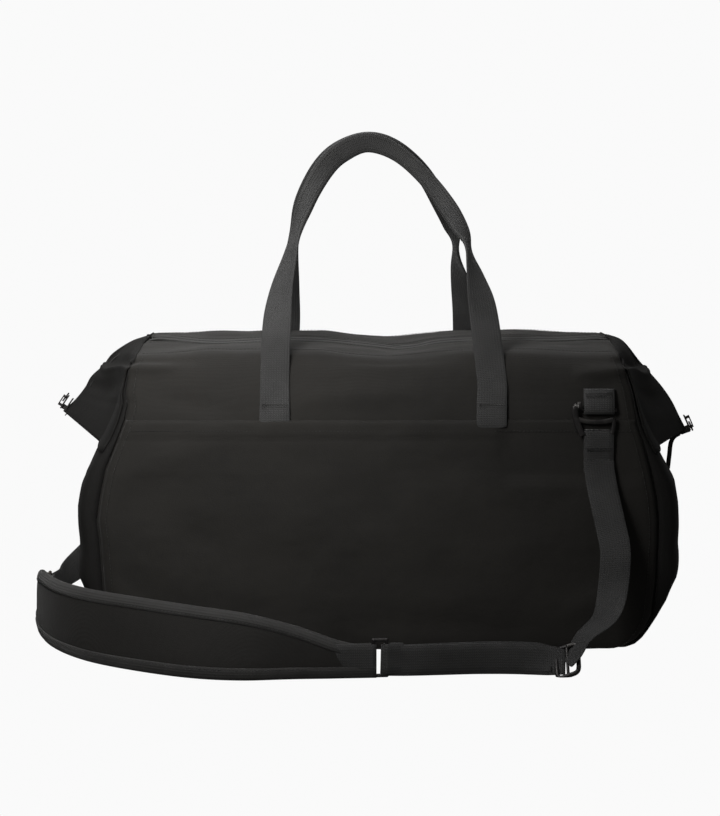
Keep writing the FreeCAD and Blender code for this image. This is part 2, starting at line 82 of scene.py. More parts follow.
# ---- materials ---------------------------------------------------------------------------
def new_material(name, colour, roughness, metallic=0.0):
    material = bpy.data.materials.new(name)
    material.use_nodes = True
    shader = material.node_tree.nodes["Principled BSDF"]
    shader.inputs["Base Color"].default_value = (*colour, 1.0)
    shader.inputs["Roughness"].default_value = roughness
    shader.inputs["Metallic"].default_value = metallic
    return material, material.node_tree, shader


def node(tree, kind, **settings):
    made = tree.nodes.new(kind)
    for key, value in settings.items():
        setattr(made, key, value)
    return made


def math_node(tree, operation, first, second=None):
    made = node(tree, "ShaderNodeMath", operation=operation)
    for socket, value in zip(made.inputs, (first, second)):
        if value is None:
            continue
        if isinstance(value, (int, float)):
            socket.default_value = value
        else:
            tree.links.new(value, socket)
    return made.outputs[0]


def noise_value(tree, coordinate, scale, detail=3.0, roughness=0.55):
    made = node(tree, "ShaderNodeTexNoise")
    made.inputs["Scale"].default_value = scale
    made.inputs["Detail"].default_value = detail
    made.inputs["Roughness"].default_value = roughness
    tree.links.new(coordinate, made.inputs["Vector"])
    return made.outputs["Fac"]


def colour_ramp(tree, value, stops):
    ramp = node(tree, "ShaderNodeValToRGB")
    for i, (place, colour) in enumerate(stops):
        stop = ramp.color_ramp.elements[i] if i < 2 else ramp.color_ramp.elements.new(place)
        stop.position = place
        stop.color = (*colour, 1.0)
    tree.links.new(value, ramp.inputs[0])
    return ramp.outputs[0]


def add_bump(tree, shader, height, distance, strength):
    bump = node(tree, "ShaderNodeBump")
    bump.inputs["Distance"].default_value = distance
    bump.inputs["Strength"].default_value = strength
    tree.links.new(height, bump.inputs["Height"])
    tree.links.new(bump.outputs[0], shader.inputs["Normal"])


def canvas_material(name, colour, thread=0.9 * MM, sheen=0.35, blotch=0.3):
    """Fine woven cloth: threads in both directions, slubs, faint blotches and lint."""
    material, tree, shader = new_material(name, colour, 0.82)
    shader.inputs["Specular IOR Level"].default_value = 0.16
    place = node(tree, "ShaderNodeTexCoord").outputs["Object"]
    axes = node(tree, "ShaderNodeSeparateXYZ")
    tree.links.new(place, axes.inputs[0])
    turn = 2 * math.pi / thread
    waves = [math_node(tree, "SINE", math_node(tree, "MULTIPLY", axes.outputs[i], turn)) for i in range(3)]
    weave = math_node(tree, "ADD", math_node(tree, "ADD", waves[0], waves[1]), waves[2])
    slubs = noise_value(tree, place, 900.0, 2.0)
    rumple = noise_value(tree, place, 28.0, 4.0, 0.6)
    height = math_node(tree, "ADD", math_node(tree, "MULTIPLY", weave, 0.16),
                       math_node(tree, "MULTIPLY", slubs, 0.9))
    height = math_node(tree, "ADD", height, math_node(tree, "MULTIPLY", rumple, 2.6))
    add_bump(tree, shader, height, 0.35 * MM, 0.55)
    cloud = noise_value(tree, place, 9.0, 5.0, 0.62)
    fleck = noise_value(tree, place, 1400.0, 1.0)
    mixed = math_node(tree, "ADD", math_node(tree, "MULTIPLY", cloud, 0.65),
                      math_node(tree, "MULTIPLY", fleck, 0.35))
    dark = [c * (1 - blotch) for c in colour]
    light = [c * (1 + blotch) for c in colour]
    tree.links.new(colour_ramp(tree, mixed, [(0.36, dark), (0.64, light)]), shader.inputs["Base Color"])
    rough = math_node(tree, "ADD", math_node(tree, "MULTIPLY", cloud, 0.2), 0.68)
    tree.links.new(rough, shader.inputs["Roughness"])
    shader.inputs["Sheen Weight"].default_value = sheen
    shader.inputs["Sheen Roughness"].default_value = 0.45
    return material


def webbing_material(name, colour, rib=1.5 * MM, sheen=0.4):
    """Woven strap: ribs across it, rows of warp along it."""
    material, tree, shader = new_material(name, colour, 0.7)
    shader.inputs["Specular IOR Level"].default_value = 0.25
    flat = node(tree, "ShaderNodeUVMap").outputs["UV"]
    axes = node(tree, "ShaderNodeSeparateXYZ")
    tree.links.new(flat, axes.inputs[0])
    along = math_node(tree, "MULTIPLY", axes.outputs[0], 2 * math.pi / rib)
    across = math_node(tree, "MULTIPLY", axes.outputs[1], 2 * math.pi / (2.1 * MM))
    bend = math_node(tree, "MULTIPLY", math_node(tree, "SINE", across), 1.2)
    ribs = math_node(tree, "SINE", math_node(tree, "ADD", along, bend))
    rows = math_node(tree, "SINE", across)
    place = node(tree, "ShaderNodeTexCoord").outputs["Object"]
    fuzz = noise_value(tree, place, 1500.0, 2.0)
    height = math_node(tree, "ADD", math_node(tree, "MULTIPLY", ribs, 0.5),
                       math_node(tree, "MULTIPLY", rows, 0.35))
    height = math_node(tree, "ADD", height, fuzz)
    add_bump(tree, shader, height, 0.3 * MM, 0.7)
    cloud = noise_value(tree, place, 40.0, 4.0)
    tone = math_node(tree, "ADD", math_node(tree, "MULTIPLY", cloud, 0.7),
                     math_node(tree, "MULTIPLY", ribs, 0.12))
    dark = [c * 0.7 for c in colour]
    light = [c * 1.35 for c in colour]
    tree.links.new(colour_ramp(tree, tone, [(0.22, dark), (0.5, light)]), shader.inputs["Base Color"])
    shader.inputs["Sheen Weight"].default_value = sheen
    shader.inputs["Sheen Roughness"].default_value = 0.4
    return material


def metal_material(name, colour, bright, roughness):
    """Dark plating, worn to brighter metal in places, with fine scuffs."""
    material, tree, shader = new_material(name, colour, roughness, 0.9)
    place = node(tree, "ShaderNodeTexCoord").outputs["Object"]
    wear = noise_value(tree, place, 90.0, 3.0, 0.6)
    tree.links.new(colour_ramp(tree, wear, [(0.45, colour), (0.72, bright)]), shader.inputs["Base Color"])
    scuff = noise_value(tree, place, 700.0, 3.0)
    rough = math_node(tree, "ADD", math_node(tree, "MULTIPLY", scuff, 0.25), roughness - 0.1)
    tree.links.new(rough, shader.inputs["Roughness"])
    add_bump(tree, shader, scuff, 0.05 * MM, 0.4)
    return material


CANVAS = canvas_material("canvas", (0.0068, 0.0063, 0.0055), sheen=0.03)
# painted shade: a much darker copy of the canvas, with less sheen, for the wings and end panels, standing
# in for the shade on the sides that face away from the light
SHADED_SIDE_CANVAS = canvas_material("canvas_side_painted_shade", (0.0021, 0.0019, 0.0017), sheen=0.005)
PAD_CLOTH = canvas_material("pad_cloth", (0.0062, 0.0058, 0.0052), thread=0.8 * MM, sheen=0.03)
WEBBING = webbing_material("webbing", (0.0125, 0.0125, 0.0125), sheen=0.05)
BINDING = webbing_material("binding_tape", (0.0115, 0.0112, 0.0108), rib=1.1 * MM, sheen=0.05)
TAPE = webbing_material("zip_tape", (0.012, 0.012, 0.0115), rib=0.9 * MM, sheen=0.03)
THREAD = webbing_material("thread", (0.011, 0.011, 0.0105), rib=0.6 * MM, sheen=0.05)
LINING = canvas_material("lining_cloth", (0.075, 0.075, 0.078), thread=0.6 * MM, sheen=0.15)
TEETH = metal_material("zip_teeth", (0.02, 0.02, 0.02), (0.06, 0.06, 0.06), 0.45)
DARK_METAL = metal_material("dark_metal", (0.022, 0.021, 0.021), (0.05, 0.048, 0.046), 0.4)
# painted highlight: a brighter, brownish copy of the dark metal, given to the left ring alone in place of a
# glint; its patchy wear comes from the same noise as the other metals
GLINT_BRIGHT_METAL = metal_material("worn_metal_painted_glint", (0.10, 0.075, 0.06), (0.32, 0.27, 0.22), 0.32)
BOARD = metal_material("board_plastic", (0.04, 0.04, 0.04), (0.06, 0.06, 0.06), 0.5)


# ---- mesh tools --------------------------------------------------------------------------
def add_mesh(name, points, faces, material, body, uvs=None, smooth=True):
    """A piece from points in millimetres."""
    mesh = bpy.data.meshes.new(name)
    mesh.from_pydata([Vector(p) * MM for p in points], [], faces)
    if uvs:
        layer = mesh.uv_layers.new(name="UVMap")
        for loop in mesh.loops:
            layer.data[loop.index].uv = uvs[loop.vertex_index]
    for polygon in mesh.polygons:
        polygon.use_smooth = smooth
    mesh.materials.append(material)
    piece = bpy.data.objects.new(name, mesh)
    bpy.context.scene.collection.objects.link(piece)
    if body:
        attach(piece, body)
    return piece


def grid_faces(rows, columns, closed=False):
    faces = []
    for i in range(rows - 1):
        for j in range(columns if closed else columns - 1):
            k = (j + 1) % columns
            faces.append((i * columns + j, i * columns + k, (i + 1) * columns + k, (i + 1) * columns + j))
    return faces


def end_caps(rows, columns):
    """The first and last faces of a closed grid."""
    last = (rows - 1) * columns
    return [tuple(reversed(range(columns))), tuple(range(last, last + columns))]


def flipped(faces):
    return [tuple(reversed(face)) for face in faces]


def curve_at(points, t):
    """A point on the smooth curve through the given ones, t from 0 to 1."""
    at = min(max(t, 0.0), 1.0) * (len(points) - 1)
    i = min(int(at), len(points) - 2)
    f = at - i
    a, b = Vector(points[max(i - 1, 0)]), Vector(points[i])
    c, d = Vector(points[i + 1]), Vector(points[min(i + 2, len(points) - 1)])
    return 0.5 * (2 * b + (c - a) * f + (2 * a - 5 * b + 4 * c - d) * f * f
                  + (3 * b - a - 3 * c + d) * f ** 3)


def even_points(points, count):
    """Evenly spaced points on the smooth curve through the given ones."""
    fine = [curve_at(points, i / 400) for i in range(401)]
    run = [0.0]
    for a, b in zip(fine, fine[1:]):
        run.append(run[-1] + (b - a).length)
    found, j = [], 0
    for i in range(count):
        goal = run[-1] * i / (count - 1)
        while j < 399 and run[j + 1] < goal:
            j += 1
        share = (goal - run[j]) / max(run[j + 1] - run[j], 1e-9)
        found.append((fine[j].lerp(fine[j + 1], share), goal, (j + share) / 400))
    return found


def value_at(values, t):
    """A number on the smooth curve through evenly placed ones."""
    return curve_at([(value,) * 3 for value in values], t)[0]


def lookup(pairs, x):
    """The value at x on straight lines between (x, value) pairs."""
    if x <= pairs[0][0]:
        return pairs[0][1]
    for (a, fa), (b, fb) in zip(pairs, pairs[1:]):
        if x <= b:
            return fa + (fb - fa) * (x - a) / (b - a)
    return pairs[-1][1]


def smooth_step(x):
    x = min(max(x, 0.0), 1.0)
    return x * x * (3 - 2 * x)


def solidify(piece, thickness, offset=-1.0):
    made = piece.modifiers.new("thickness", "SOLIDIFY")
    made.thickness = thickness * MM
    made.offset = offset


def subdivide(piece, levels=1):
    made = piece.modifiers.new("smooth", "SUBSURF")
    made.levels = levels
    made.render_levels = levels


def strap(name, points, across, width, thickness, body, material=None, rows=60,
          crown=0.0):
    """A flat strap with rounded edges; width and thickness may be lists spread along it."""
    line = even_points(points, rows)
    shape = [(-1, -0.4), (-1, 0.4), (-0.93, 0.95), (-0.5, 1 + crown), (0, 1 + 1.4 * crown),
             (0.5, 1 + crown), (0.93, 0.95), (1, 0.4), (1, -0.4), (0.93, -0.95), (0.5, -1 - crown),
             (0, -1 - 1.4 * crown), (-0.5, -1 - crown), (-0.93, -0.95)]
    verts, uvs = [], []
    for i, (point, run, share) in enumerate(line):
        ahead = line[min(i + 1, rows - 1)][0] - line[max(i - 1, 0)][0]
        ahead.normalize()
        side = curve_at(across, share)
        side = (side - ahead * ahead.dot(side)).normalized()
        normal = ahead.cross(side)
        broad = value_at(width, share) if isinstance(width, list) else width
        thick = value_at(thickness, share) if isinstance(thickness, list) else thickness
        edge = min(1.0, 0.5 * thick / (0.07 * broad))
        for a, b in shape:
            reach = math.copysign(1 - (1 - abs(a)) * edge if abs(a) > 0.9 else abs(a), a) if a else 0
            verts.append(point + side * (reach * broad / 2) + normal * (b * thick / 2))
            uvs.append((run * MM, (a * broad / 2) * MM))
    count = len(shape)
    faces = grid_faces(rows, count, closed=True)
    faces += end_caps(rows, count)
    return add_mesh(name, verts, faces, material or WEBBING, body, uvs)


def tube(name, points, radius, rows):
    """A round bar of the strap's hardware along points."""
    sides = 12
    line = [point for point, _, _ in even_points(points, rows)]
    verts = []
    for i, point in enumerate(line):
        ahead = (line[min(i + 1, rows - 1)] - line[max(i - 1, 0)]).normalized()
        side = ahead.cross(Vector((0.13, 0.97, 0.2))).normalized()
        up = side.cross(ahead)
        for j in range(sides):
            angle = 2 * math.pi * j / sides
            verts.append(point + side * (math.cos(angle) * radius) + up * (math.sin(angle) * radius))
    faces = grid_faces(rows, sides, closed=True) + end_caps(rows, sides)
    uvs = [(i // sides * MM * 2, i % sides * MM) for i in range(len(verts))]
    return add_mesh(name, verts, faces, DARK_METAL, "shoulder_strap", uvs)


def stitch_row(points, pitch, length, radius):
    """The vertices and faces of a row of short threads along a line."""
    total = sum((Vector(b) - Vector(a)).length for a, b in zip(points, points[1:]))
    count = max(2, int(total / pitch))
    line = even_points(points, count + 1)
    verts, faces = [], []
    for i in range(count):
        middle = (line[i][0] + line[i + 1][0]) / 2
        ahead = (line[i + 1][0] - line[i][0]).normalized()
        helper = Vector((0.1, 0.2, 1.0) if abs(ahead.z) < 0.8 else (0, 1, 0.1))
        side = ahead.cross(helper).normalized()
        up = side.cross(ahead)
        base = len(verts)
        for share, size in ((-0.5, 0.35), (-0.3, 1.0), (0.3, 1.0), (0.5, 0.35)):
            for j in range(5):
                angle = 2 * math.pi * j / 5
                verts.append(middle + ahead * (share * length) + side * (math.cos(angle) * radius * size)
                             + up * (math.sin(angle) * radius * size))
        for k in range(3):
            for j in range(5):
                n = (j + 1) % 5
                faces.append((base + k * 5 + j, base + k * 5 + n, base + k * 5 + 5 + n,
                              base + k * 5 + 5 + j))
    return verts, faces


def stitches(name, rows, body, pitch=3.2, length=2.5, radius=0.28):
    verts, faces = [], []
    for points in rows:
        more, links = stitch_row(points, pitch, length, radius)
        base = len(verts)
        verts += more
        faces += [tuple(base + k for k in face) for face in links]
    uvs = [(v.x * MM, v.z * MM) for v in verts]
    return add_mesh(name, verts, faces, THREAD, body, uvs)


# ---- the bag's cloth shell, in millimetres -------------------------------------------------
# section of the front half, from the base seam over the crease to the zip, as (0, depth, height)
SECTION = [(0, 96, 0.6), (0, 102.5, 7), (0, 105, 32), (0, 106, 70), (0, 106.5, 115), (0, 106, 160),
           (0, 104.5, 200), (0, 99, 229), (0, 93, 243), (0, 85, 248.8), (0, 62, 250.4), (0, 36, 250.8),
           (0, 12, 251)]
SEAM = {
    "left": [(0, -192), (4, -208), (10, -219), (18, -225), (30, -229), (60, -231), (94, -233), (111, -235),
             (131, -232), (154, -227), (176, -218), (194, -211), (208, -208), (217, -210), (232, -208),
             (246, -205), (257, -197)],
    "right": [(0, 190), (4, 205), (10, 215), (18, 221), (30, 227), (60, 230), (94, 231), (111, 231),
              (131, 229), (154, 224), (178, 217), (191, 212.5), (208, 209.5), (221, 207), (233, 203),
              (246, 199), (257, 194)],
}
END_X = {
    "left": [(0, -212), (4, -219), (12, -225), (26, -236), (42, -247), (60, -253), (120, -254.5),
             (140, -251), (156, -244), (168, -238), (180, -231), (200, -221), (222, -213), (240, -207)],
    "right": [(0, 208), (4, 215), (12, 221), (26, 231), (42, 242), (60, 249), (80, 251.5), (120, 251),
              (140, 248), (156, 240), (168, 234), (180, 227), (200, 217), (222, 209), (240, 203)],
}
POCKET_TOP = 195.0
SIDES = (("front", -1), ("back", 1))

# soft creases in the cloth: start and end as (x, z), half width and depth in millimetres
CREASES = {
    "front": [((-240, 238), (-168, 238), 4.5, 2.8), ((-245, 247), (-150, 244), 5, -2.4),
              ((-196, 216), (-110, 200), 8, -1.2), ((-70, 212), (40, 218), 9, 1.6),
              ((158, 232), (262, 240), 4.5, 3.0), ((175, 222), (250, 228), 6, -2.2),
              ((-228, 150), (-120, 176), 14, 1.6), ((-225, 120), (-60, 60), 20, -1.8),
              ((60, 60), (222, 140), 22, 1.8), ((40, 150), (215, 178), 14, -1.4),
              ((-40, 30), (140, 18), 12, -1.6), ((-200, 30), (-80, 20), 12, 1.5),
              ((150, 30), (226, 70), 10, 2.2), ((-228, 60), (-190, 25), 9, 2.0)],
    "back": [((-200, 232), (-110, 216), 8, 2.0), ((30, 214), (190, 226), 9, 1.8),
             ((-220, 130), (-40, 80), 22, -1.8), ((0, 70), (220, 150), 22, 1.6),
             ((-210, 170), (-60, 150), 14, 1.4), ((60, 24), (200, 34), 12, 1.5)],
}


def hook_zone(side, x, z):
    """1 where the strap's hook lies and slides on the cloth, 0 away from it."""
    middle_x, middle_z = 158, 182
    across = x if side == "front" else -x
    near = smooth_step((66 - abs(across - middle_x)) / 16)
    return near * smooth_step((44 - abs(z - middle_z)) / 14)


def crease_lift(side, x, z):
    """How far the cloth stands out at (x, z), from its creases and slow waves."""
    lift = 1.6 * noise.noise(Vector((x * 0.011, z * 0.018, 3.1 if side == "front" else 8.7)))
    lift += 0.7 * noise.noise(Vector((x * 0.035, z * 0.04, 1.3)))
    lift += 0.25 * noise.noise(Vector((x * 0.11, z * 0.12, 5.3)))
    for (x0, z0), (x1, z1), half, depth in CREASES[side]:
        line = Vector((x1 - x0, z1 - z0))
        share = ((x - x0) * line.x + (z - z0) * line.y) / line.length_squared
        inside = min(max(share, 0.0), 1.0)
        away = math.hypot(x - x0 - line.x * inside, z - z0 - line.y * inside)
        fade = math.sin(math.pi * inside) ** 0.5 if 0 < share < 1 else 0.0
        lift += depth * fade * math.exp(-(away / half) ** 2)
    hook = hook_zone(side, x, z)
    return lift * (1 - hook) - 1.2 * hook


def zip_dip(x):
    """How far the zip's lips sink below the top at x."""
    return 2.6 * math.exp(-((x - 22) / 17) ** 2) + 2.4 * math.exp(-((x + 138) / 34) ** 2)


def face_point(side, sign, s, t, proud):
    """A point on the front or back cloth; s runs left to right, t from base to zip."""
    place = curve_at(SECTION, t)
    before, after = curve_at(SECTION, t - 0.01), curve_at(SECTION, t + 0.01)
    run = (after - before).normalized()
    out_y, out_z = run.z, -run.y
    x = lookup(SEAM["left"], place.z) * (1 - s) + lookup(SEAM["right"], place.z) * s
    edge = min(s, 1 - s) * 440
    free = max(smooth_step(edge / 22), smooth_step((place.z - 224) / 8))
    hold = free * smooth_step(t / 0.07) * smooth_step((1 - t) / 0.05)
    lift = crease_lift(side, x, place.z) * hold
    lift -= 3.2 * (1 - smooth_step(edge / 9)) * smooth_step(t / 0.1) * smooth_step((0.76 - t) / 0.1)
    near_zip = smooth_step((70 - place.y) / 55)
    sag = 5.4 * math.exp(-((x - 8) / 42) ** 2) + zip_dip(x) * near_zip
    sag += 2.2 * smooth_step((abs(x) - 140) / 45) * (1 - near_zip)
    sag += 1.0 * noise.noise(Vector((x * 0.03, place.y * 0.05, 2.2)))
    sag *= smooth_step((place.z - 236) / 11)
    lift += proud
    return Vector((x, sign * (place.y + out_y * lift), place.z + out_z * lift - sag))


def depth_share(height):
    """The section parameter whose height is the one given, below the crease."""
    low, high = 0.0, 0.7
    for _ in range(30):
        middle = (low + high) / 2
        if curve_at(SECTION, middle).z < height:
            low = middle
        else:
            high = middle
    return low


def cloth_face(side, sign):
    columns, rows = 150, 110
    verts = [face_point(side, sign, j / (columns - 1), i / (rows - 1), 0.0)
             for i in range(rows) for j in range(columns)]
    faces = grid_faces(rows, columns)
    if sign > 0:
        faces = flipped(faces)
    piece = add_mesh(side + "_cloth", verts, faces, CANVAS, "bag")
    solidify(piece, CLOTH_THICK)
    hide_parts(side + "_main_panel", "top_panel_" + side)
    return piece


def pocket_face(side, sign):
    """The slip pocket's outer layer, with a thick folded hem that stands a little proud."""
    columns, rows = 150, 80
    top = depth_share(POCKET_TOP)
    verts = []
    for i in range(rows):
        share = i / (rows - 1)
        t = 0.055 + (top - 0.055) * share
        for j in range(columns):
            s = j / (columns - 1)
            hem = smooth_step((share - 0.985) / 0.012)
            gape = 1.0 * smooth_step((share - 0.8) / 0.2) * math.sin(math.pi * s) ** 0.5
            ripple = noise.noise(Vector((s * 9, 0.4, sign * 2.0)))
            gape += 0.5 * smooth_step((share - 0.9) / 0.1) * ripple
            groove = 0.25 * math.exp(-((share - 0.925) / 0.006) ** 2)
            rib = 0.5 * smooth_step((share - 0.925) / 0.01) - groove
            proud = 1.7 + gape + rib - 0.9 * hem
            flat = face_point(side, sign, 0.004 + 0.992 * s, t, 0.0)
            proud -= (proud - 1.2) * hook_zone(side, flat.x, flat.z)
            verts.append(face_point(side, sign, 0.004 + 0.992 * s, t, proud))
    faces = grid_faces(rows, columns)
    if sign > 0:
        faces = flipped(faces)
    piece = add_mesh(side + "_pocket", verts, faces, CANVAS, "bag")
    solidify(piece, HEM_THICK)
    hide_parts(side + "_pocket_panel")


def end_point(side, angle, z, proud=0.0):
    """A point on an end panel; angle -90..90 degrees runs from the front seam to the back."""
    place = curve_at(SECTION, depth_share(z)) if z < 246 else curve_at(SECTION, 0.7)
    seam = lookup(SEAM[side], z)
    far = lookup(END_X[side], z)
    sign = -1 if side == "left" else 1
    power = 2 / (4.6 - 2.0 * smooth_step((z - 145) / 40))
    y = (place.y - 1.5) * math.copysign(abs(math.sin(angle)) ** power, math.sin(angle))
    reach = abs(math.cos(angle)) ** power
    x = seam + (far - seam) * reach
    hollow = 9 * math.exp(-((z - 186) / 22) ** 2) * math.exp(-((abs(y) - 52) / 26) ** 2)
    folds = 1.8 * noise.noise(Vector((y * 0.022, z * 0.016, 4.4 * sign)))
    folds += 0.6 * noise.noise(Vector((y * 0.07, z * 0.05, 9.1)))
    upper = 2.2 * math.exp(-((z - 96 - 0.3 * y) / 15) ** 2)
    folds += upper - 1.8 * math.exp(-((z - 62 + 0.25 * y) / 13) ** 2)
    return Vector((x + sign * (folds * reach - hollow * reach + proud), y, z))


def end_cloth(side):
    columns, rows = 90, 80
    verts = []
    for i in range(rows):
        z = 2 + 240 * i / (rows - 1)
        for j in range(columns):
            verts.append(end_point(side, math.radians(-90 + 180 * j / (columns - 1)), z))
    faces = grid_faces(rows, columns)
    if side == "left":
        faces = flipped(faces)
    # painted shade: the end panel takes the darker shaded copy of the canvas
    piece = add_mesh(side + "_end_cloth", verts, faces, SHADED_SIDE_CANVAS, "bag")
    solidify(piece, CLOTH_THICK)
    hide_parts(side + "_end_panel")


def lining_piece(side, verts, rows, columns):
    faces = grid_faces(rows, columns)
    piece = add_mesh("lining_" + side + "_cloth", verts, faces, LINING, "bag")
    solidify(piece, LINING_THICK, 0.0)
    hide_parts("lining_" + side)


def lining_cloth():
    """The thin inner cloth, hung a little inside the shell."""
    columns, rows = 40, 30
    for side in ("left", "right"):
        verts = []
        for i in range(rows):
            for j in range(columns):
                angle = math.radians(-78 + 156 * j / (columns - 1))
                verts.append(end_point(side, angle, 14 + 202 * i / (rows - 1), -3.2))
        lining_piece(side, verts, rows, columns)
    for side, sign in SIDES:
        low, high = depth_share(14.0), depth_share(216.0)
        verts = []
        for i in range(rows):
            for j in range(columns):
                s, t = 0.02 + 0.96 * j / (columns - 1), low + (high - low) * i / (rows - 1)
                verts.append(face_point(side, sign, s, t, -3.4))
        lining_piece(side, verts, rows, columns)


def base_cloth():
    """The underside, turned up a little all round, with a rolled lower edge."""
    rings = [(7.5, 0.0), (3.0, 0.6), (0.9, 3.2), (0.6, 8.0)]
    count = 160
    verts = []
    for inset, z in rings:
        for j in range(count):
            angle = 2 * math.pi * j / count
            power = 2 / 9.0
            cos, sin = math.cos(angle), math.sin(angle)
            x = math.copysign(abs(cos) ** power, cos) * (217 - inset)
            y = math.copysign(abs(sin) ** power, sin) * (102 - inset)
            verts.append((x, y, z))
    faces = flipped(grid_faces(len(rings), count, closed=True))
    faces.append(tuple(range(count)))
    piece = add_mesh("base_cloth", verts, faces, CANVAS, "bag")
    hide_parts("base_panel")


# ---- zip and wings -------------------------------------------------------------------------
RIDGE = {
    "left": [(-197, 253), (-212.8, 248.6), (-230.2, 237.6), (-238.5, 227.3), (-249, 217.6), (-254.5, 208.1),
             (-263, 197.6), (-273.8, 187.5)],
    "right": [(194, 254), (208.9, 248.6), (223.2, 231.5), (229.5, 224.5), (242.5, 209.8), (251.8, 196.5),
              (259, 182.3), (264.5, 172)],
}
WING_LOW = {"left": 168.0, "right": 167.0}      # height where a leaf's free edge meets the side seam


def ridge_point(side, share):
    line = [(x, 0, z) for x, z in RIDGE[side]]
    return curve_at(line, share)


def end_surface_x(side, y, z):
    """Where the end panel stands at a depth y and height z."""
    half = curve_at(SECTION, depth_share(z)).y - 1.5
    power = 2 / (4.6 - 2.0 * smooth_step((z - 145) / 40))
    sine = min(y / half, 1.0) ** (1 / power)
    reach = math.sqrt(1 - sine * sine) ** power
    seam = lookup(SEAM[side], z)
    return seam + (lookup(END_X[side], z) - seam) * reach


def wing(side, end, sign):
    """A leaf of cloth from the zip to the side seam, with one sharp crease and a free lower edge."""
    columns, rows = 60, 60
    out = -1 if side == "left" else 1
    lowest = depth_share(WING_LOW[side])
    outward = Vector((out * 0.6, sign * 0.35, 0.7)).normalized()
    verts = []
    for i in range(rows):
        share = i / (rows - 1)
        ridge = ridge_point(side, share) + Vector((0, sign * 1.6, 0.9))
        low = face_point(end, sign, 0.0 if side == "left" else 1.0, 1 - (1 - lowest) * share ** 0.8, 0.9)
        for j in range(columns):
            across = j / (columns - 1)
            point = ridge.lerp(low, across)
            bell = math.sin(math.pi * across)
            past = share - 0.43 - 0.19 * across - 0.03 * math.sin(7 * across)
            bulge = 3.4 * math.exp(-(past / 0.035) ** 2) * smooth_step(across / 0.08)
            bulge -= 6.5 * math.exp(-((past + 0.15) / 0.10) ** 2) * math.sqrt(bell)
            bulge -= 7.0 * math.exp(-((past - 0.17) / 0.13) ** 2) * bell
            bulge += 1.4 * noise.noise(Vector((share * 4.0, across * 3.0, sign * 1.7 + out * 3.3))) * bell
            point += outward * bulge
            if point.z < 235:
                limit = abs(end_surface_x(side, abs(point.y), point.z)) + 2.4
                point.x = out * max(abs(point.x), limit)
            verts.append(point)
    faces = grid_faces(rows, columns)
    if (sign < 0) == (side == "left"):
        faces = flipped(faces)
    # painted shade: the leaf takes the darker shaded copy of the canvas
    piece = add_mesh(side + "_wing_" + end + "_cloth", verts, faces, SHADED_SIDE_CANVAS, "bag")
    solidify(piece, HEM_THICK)
    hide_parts(side + "_wing_" + end)


def zip_line():
    """The zip's whole line from tip to tip, sinking a little in the middle."""
    left = [ridge_point("left", 1 - i / 12) for i in range(12)]
    middle = []
    for i in range(25):
        x = -190 + 378 * i / 24
        ends = 1.5 * smooth_step((abs(x) - 150) / 40)
        middle.append(Vector((x, 0, 251.2 + ends - 5.4 * math.exp(-((x - 8) / 42) ** 2) - zip_dip(x))))
    right = [ridge_point("right", (i + 1) / 12) for i in range(12)]
    return [tuple(p) for p in left + middle + right]


def zip_parts():
    line = zip_line()
    for side, sign in SIDES:
        rows = []
        for x, y, z in line:
            off = smooth_step((abs(x) - 190) / 14)
            rows.append((x - math.copysign(2.4 * off, x), y + sign * (8.0 - 3.0 * off),
                         z - 0.6 - 1.6 * off))
        widths = [7.5] * 11 + [10] + [13] * 24 + [10] + [7.5] * 12
        tape = strap("zip_tape_" + side + "_cloth", rows, [(0, 1, 0), (0, 1, 0)], widths, 0.8, "bag",
                     TAPE, rows=150)
        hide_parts("zip_tape_" + side)
        verts, faces = [], []
        places = even_points(line, 420)
        for i, (point, _, _) in enumerate(places[2:-2]):
            if (i % 2 == 0) != (sign < 0):
                continue
            ahead = (places[i + 3][0] - places[i + 1][0]).normalized()
            up = ahead.cross(Vector((0, -1, 0))).normalized()
            base = len(verts)
            for low, y0, y1, half in ((0.2, -0.3, 2.6, 0.55), (1.5, -0.9, 2.2, 0.5),
                                      (2.0, -0.4, 1.4, 0.25)):
                for dy, dx in ((y0, -half), (y1, -half), (y1, half), (y0, half)):
                    verts.append(point + ahead * dx + up * low + Vector((0, sign * dy, 0)))
            for k in range(2):
                for a, b in ((0, 1), (1, 2), (2, 3), (3, 0)):
                    faces.append((base + 4 * k + a, base + 4 * k + b, base + 4 * k + 4 + b,
                                  base + 4 * k + 4 + a))
            faces.append((base + 8, base + 9, base + 10, base + 11))
        coil = add_mesh("zip_coil_" + side + "_rows", verts, faces, TEETH, "bag")
        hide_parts("zip_coil_" + side)


def build_shell():
    for side, sign in SIDES:
        cloth_face(side, sign)
        pocket_face(side, sign)
    for side in ("left", "right"):
        end_cloth(side)
        for end, sign in SIDES:
            wing(side, end, sign)
    lining_cloth()
    base_cloth()
    zip_parts()


# ---- handles -------------------------------------------------------------------------------
FOOT = {"front": (-86.5, 92.0), "back": (-86.0, 78.0)}
ARCH = {
    "front": [(-85.4, 92.5, 266), (-82.4, 77, 297.7), (-75.3, 57, 327.3), (-69.6, 46, 347.5),
              (-60.7, 31, 373.4), (-46.3, 16, 398.6), (-31.8, 8, 411.8), (-10.4, 5, 419.3),
              (15.3, 6, 409.9), (39.5, 14, 388.6), (56.7, 28, 366.1), (67.6, 42, 348), (73.5, 53, 333.4),
              (79.2, 67, 313.3), (85.2, 84, 283)],
    "back": [(-83.9, 93, 250), (-81.9, 77, 283.9), (-78.3, 57, 318.8), (-73, 46, 345), (-64.6, 31, 371.9),
             (-49.9, 16, 396.7), (-33.4, 8, 411.6), (-10.4, 5, 419.7), (12, 6, 414.6), (34.8, 14, 395.1),
             (52.8, 28, 366), (62.4, 42, 344.4), (66.3, 53, 326.1), (69.9, 67, 303), (76.4, 84, 269.4)],
}
